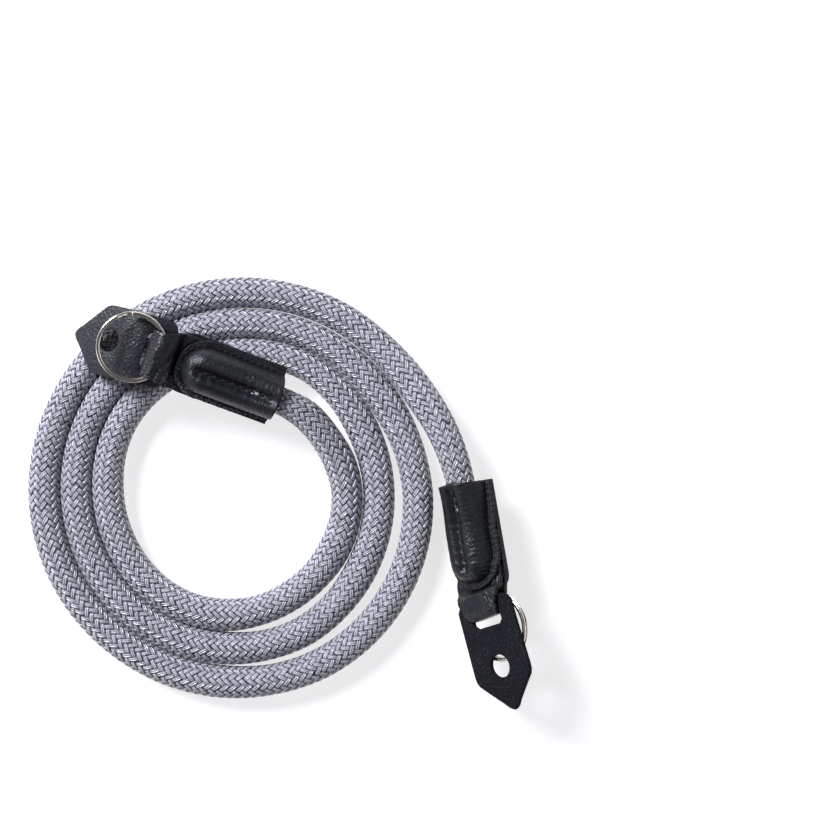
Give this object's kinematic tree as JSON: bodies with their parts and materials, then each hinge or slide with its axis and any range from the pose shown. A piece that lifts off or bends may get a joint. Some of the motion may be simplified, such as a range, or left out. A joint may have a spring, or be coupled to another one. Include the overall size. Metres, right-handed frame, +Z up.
{
  "type": "coiled camera neck strap",
  "caption": "Braided rope camera neck strap lying in a flat coil, with stitched leather end fittings, pointed protector tabs and split rings.",
  "frame": {"origin": "centre of the footprint's bounding box, on the surface the coil lies on", "axes": "+Z up from the surface, +X to the right of the picture towards the outer end fitting, +Y to the picture's top"},
  "size_m": [0.1346, 0.1142, 0.0228],
  "materials": {
    "braid": "light grey braided cord with a soft sheen",
    "smooth_leather": "near-black smooth leather, semi-gloss",
    "tab_leather": "near-black grained leather, suede on one side",
    "nickel": "polished nickel wire"
  },
  "bodies": {
    "root": {"rope": "braid", "rope_cover_a": "smooth_leather", "loop_strap_a": "smooth_leather", "protector_tab_a": "tab_leather", "split_ring_a": "nickel", "rope_cover_b": "smooth_leather", "loop_strap_b": "smooth_leather", "protector_tab_b": "tab_leather", "split_ring_b": "nickel"}
  },
  "joints": []
}
